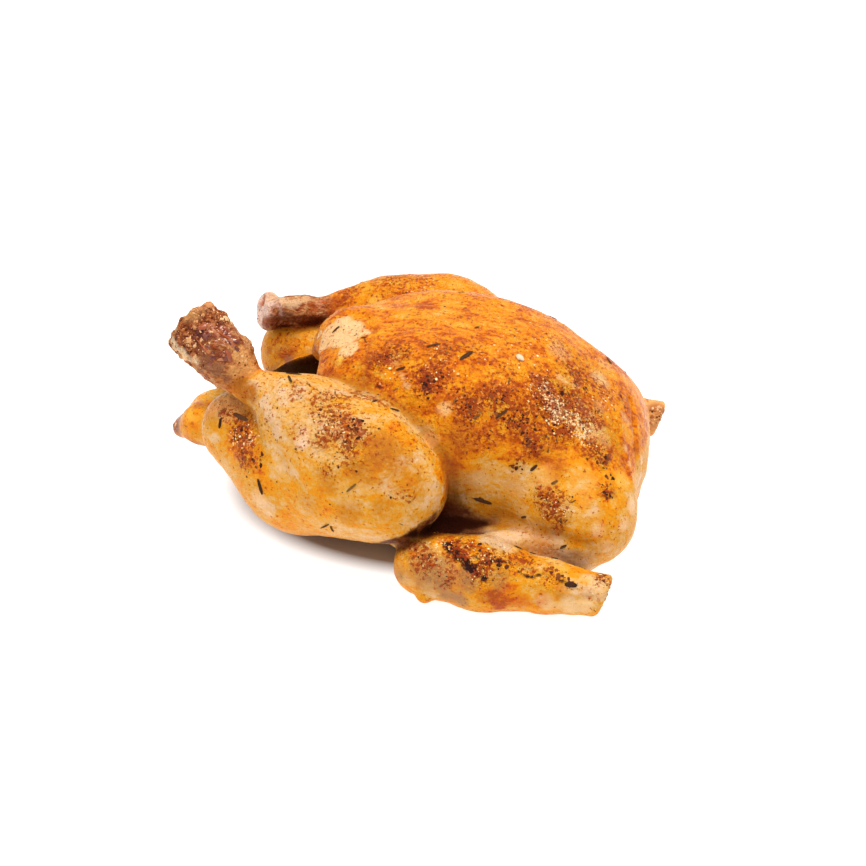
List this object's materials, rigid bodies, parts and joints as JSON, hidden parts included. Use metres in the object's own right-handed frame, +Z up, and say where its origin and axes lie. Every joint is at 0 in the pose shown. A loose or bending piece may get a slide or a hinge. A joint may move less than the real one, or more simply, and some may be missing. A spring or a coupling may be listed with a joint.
{
  "type": "roast chicken",
  "caption": "Whole roast chicken lying on its back, breast up, with legs apart and wing tips cut off.",
  "frame": {"origin": "under the middle of the bird, on the surface it lies on", "axes": "+X towards the neck end, -X towards the tail, +Z up through the breast, the bird's left side at -Y"},
  "size_m": [0.2382, 0.198, 0.1097],
  "materials": {
    "roast_skin": "glossy browned skin with dark herb specks"
  },
  "bodies": {
    "root": {"roast_chicken": "roast_skin"}
  },
  "joints": []
}
